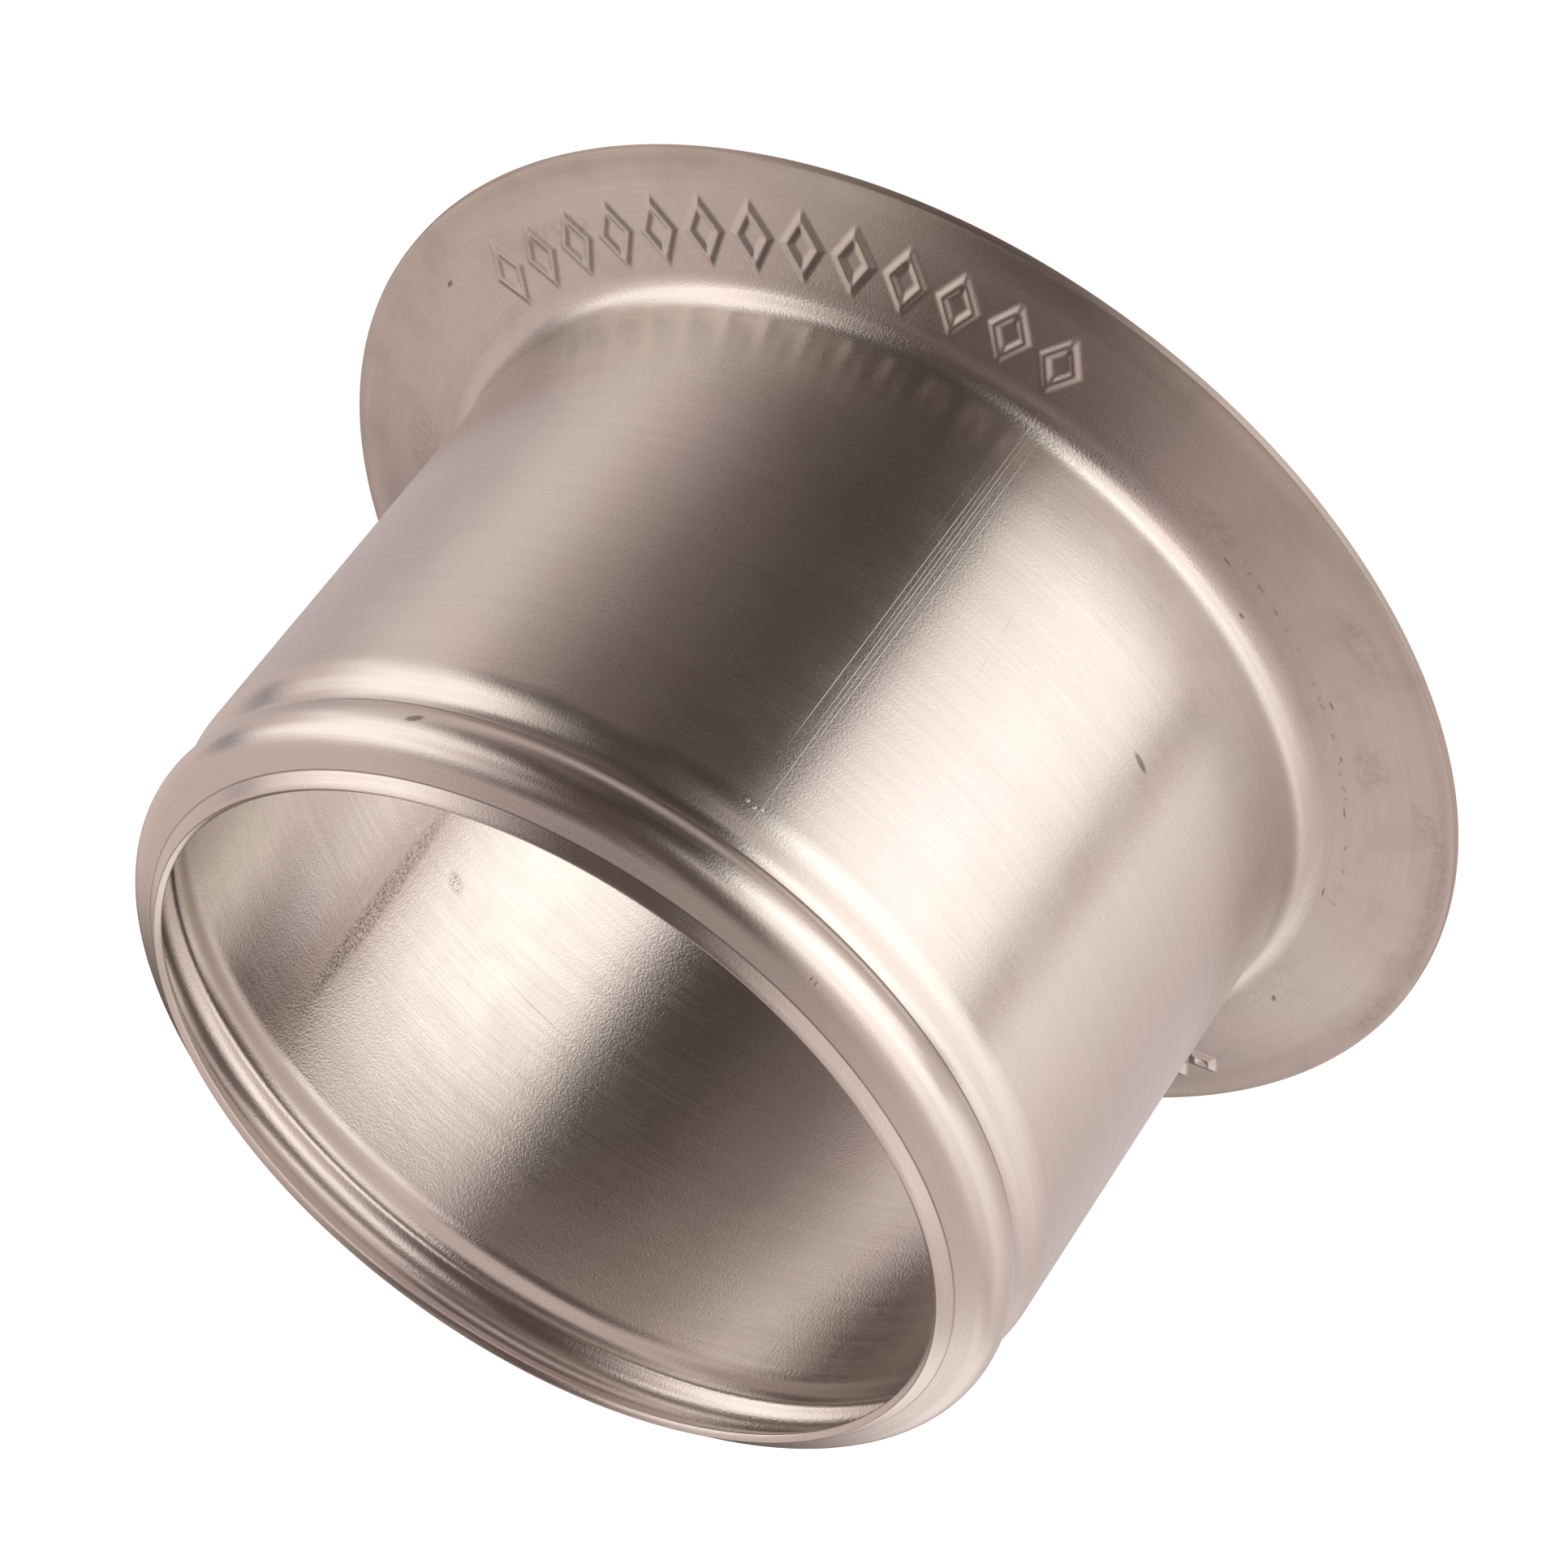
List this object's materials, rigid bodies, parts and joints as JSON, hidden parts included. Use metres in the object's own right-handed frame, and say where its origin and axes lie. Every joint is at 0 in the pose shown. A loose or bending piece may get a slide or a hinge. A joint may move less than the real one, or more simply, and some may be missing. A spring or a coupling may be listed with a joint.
{
  "type": "sink flange",
  "caption": "Drawn stainless steel sink flange for a garbage disposal: a wide dished flange, a straight open sleeve, a snap-ring groove, a bead and a turned-in mouth.",
  "frame": {"origin": "centre of the flange rim's back face, which is the lowest plane of the part as it stands on its flange", "axes": "+Z runs along the axis from the flange to the mouth, the way the sleeve goes down through a sink, so in use the part is turned over and +Z points down; -Y is the side where the long stamped band starts, and the band runs from there towards +X"},
  "size_m": [0.1142, 0.1142, 0.0634],
  "materials": {
    "stainless_steel": "drawn and lightly brushed round the axis"
  },
  "bodies": {
    "root": {"sink_flange": "stainless_steel"}
  },
  "joints": []
}
